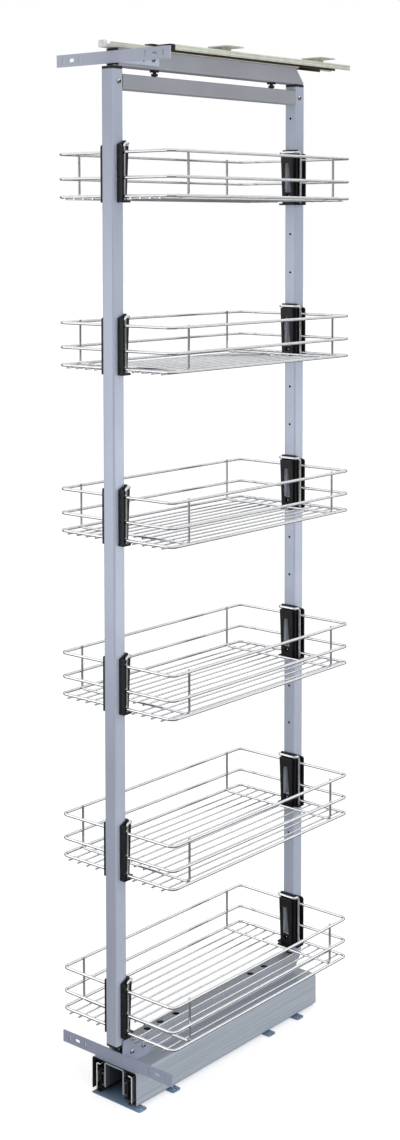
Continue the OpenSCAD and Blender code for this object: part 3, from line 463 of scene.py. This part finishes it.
def chrome(name, colour, reach=0.0):
    """Bright chrome: near mirror, with slight ripple and dull patches, with painted shade in its hollows if
    asked.
    """
    material, tree, surface, coords = new_material(name)
    cloud = noise(tree, coords, CHROME_CLOUD, detail=3)
    tone = ramp(tree, cloud, NOISE_WIDE, colour, CHROME_TONES)
    if reach:
        tone = hollowed(tree, tone, reach)
    link(tree, tone, surface.inputs["Base Color"])
    dull = noise(tree, coords, CHROME_DULL, detail=2)
    link(tree, spread(tree, dull, *CHROME_ROUGH), surface.inputs["Roughness"])
    ripple = noise(tree, coords, CHROME_RIPPLE, detail=1)
    link(tree, bump(tree, ripple, CHROME_RELIEF), surface.inputs["Normal"])
    surface.inputs["Metallic"].default_value = 1.0
    return material


def moulded(name, colour, painted_shading_mask=None, painted_shading_tone=PAINTED_SHADE):
    """Moulded plastic: fine spark-eroded texture with slight tone changes.

    Where the mask named painted_shading_mask is one, painted_shading_tone shows in place of the plastic, as
    painted light and shade.
    """
    material, tree, surface, coords = new_material(name)
    cloud = noise(tree, coords, MOULD_CLOUD, detail=3)
    tone = ramp(tree, cloud, NOISE_WIDE, colour, MOULD_TONES)
    if painted_shading_mask:
        tone = mixed(tree, painted_shading_mask(tree, coords), tone, painted_shading_tone)
    link(tree, tone, surface.inputs["Base Color"])
    link(tree, spread(tree, cloud, *MOULD_ROUGH), surface.inputs["Roughness"])
    spark = noise(tree, coords, MOULD_SPARK, detail=1)
    link(tree, bump(tree, spark, MOULD_RELIEF), surface.inputs["Normal"])
    return material


finishes = {
    "base_zinc": coated_metal("base_zinc", (0.21, 0.30, 0.43), rough=(0.3, 0.45), variation=0.12),
    # Outer rails: painted shade in their narrow gaps, and a painted highlight on their cut ends
    "runner_zinc": plated_metal("runner_zinc", (0.50, 0.51, 0.53), metallic=0.3,
                                painted_shading_mask=cut_ends("outer_rail_left"), painted_shading_tone=RAIL_END_HIGHLIGHT, reach=RAIL_REACH),
    # Inner rails: a darker copy of the zinc, as painted shade
    "zinc_painted_shade": plated_metal("zinc_painted_shade", (0.15, 0.155, 0.17), metallic=0.3),
    "runner_black": coated_metal("runner_black", (0.012, 0.012, 0.014), rough=(0.3, 0.45), variation=0.2),
    "slide_zinc": plated_metal("slide_zinc", (0.74, 0.77, 0.67), metallic=0.55),
    "slide_bronze": plated_metal("slide_bronze", (0.16, 0.11, 0.09)),
    "black_plastic": moulded("black_plastic", (0.010, 0.010, 0.012)),
    "black_bolt": coated_metal("black_bolt", (0.010, 0.010, 0.011), rough=(0.28, 0.42), variation=0.2),
    "cage_steel": plated_metal("cage_steel", (0.5, 0.47, 0.36)),
    "bright_steel": chrome("bright_steel", STEEL),
    # Screws: painted shade in their sockets and round the foot of their heads
    "screw_steel": chrome("screw_steel", STEEL, reach=SOCKET_REACH),
    # Cover: painted shade on its inner faces and its front edge
    "cover_painted_shade_inside": coated_metal("cover_painted_shade_inside", SATIN_GREY, SATIN_ROUGH, SATIN_VARIATION, SATIN_LINES,
                                painted_shading_mask=inside_cover),
    # Inner channel: painted shade all over, but for its cut ends in the satin grey
    "channel_painted_shade": coated_metal("channel_painted_shade", SATIN_PAINTED_SHADE, SATIN_ROUGH, SATIN_VARIATION, SATIN_LINES,
                                  painted_shading_mask=cut_ends("inner_channel"), painted_shading_tone=SATIN_GREY),
    "grey_paint": coated_metal("grey_paint", (0.33, 0.36, 0.47)),
    "rail_paint": coated_metal("rail_paint", (0.325, 0.35, 0.40)),
    "beam_paint": coated_metal("beam_paint", (0.305, 0.315, 0.35)),
    # Top bracket: a lighter copy of the grey paint, as painted light
    "bracket_painted_light": coated_metal("bracket_painted_light", (0.455, 0.485, 0.595)),
    # Uprights: painted shade on the inner walls and in the holes of the tubes
    "blue_grey_paint": coated_metal("blue_grey_paint", (0.45, 0.495, 0.605), rough=(0.26, 0.33),
                                    variation=0.03, metallic=0.3, painted_shading_mask=inside_tubes),
    "white_plastic": moulded("white_plastic", (0.66, 0.67, 0.68)),
    # Clips: painted light on the back plate behind the window
    "clip_black": moulded("clip_black", (0.004, 0.004, 0.005), painted_shading_mask=behind_window, painted_shading_tone=CLIP_WINDOW_PAINTED_LIGHT),
    "basket_chrome": chrome("basket_chrome", BRIGHT_CHROME),
}

# Nodes whose finish differs from their slot's; the top bracket's is a lighter copy as painted light, and the
# cover's, channel's, inner rails' and screws' carry painted shade
own_finish = {
    "bottom_rail": "rail_paint",
    "top_beam": "beam_paint",
    "top_crossbar": "beam_paint",
    "top_bracket": "bracket_painted_light",
    "runner_cover": "cover_painted_shade_inside",
    "inner_channel": "channel_painted_shade",
    "inner_rail_left": "zinc_painted_shade",
    "inner_rail_right": "zinc_painted_shade",
    "bracket_screws": "screw_steel",
    "crossbar_screws": "screw_steel",
}


def dress_nodes():
    """Gives every CAD node its own finish, or else the finish of its slot in the record."""
    for row in frame["record"]["subparts"]:
        node = row["node"]
        mesh = nodes[node].data
        mesh.materials.clear()
        mesh.materials.append(finishes[own_finish.get(node, row["material_slot"])])


dress_nodes()
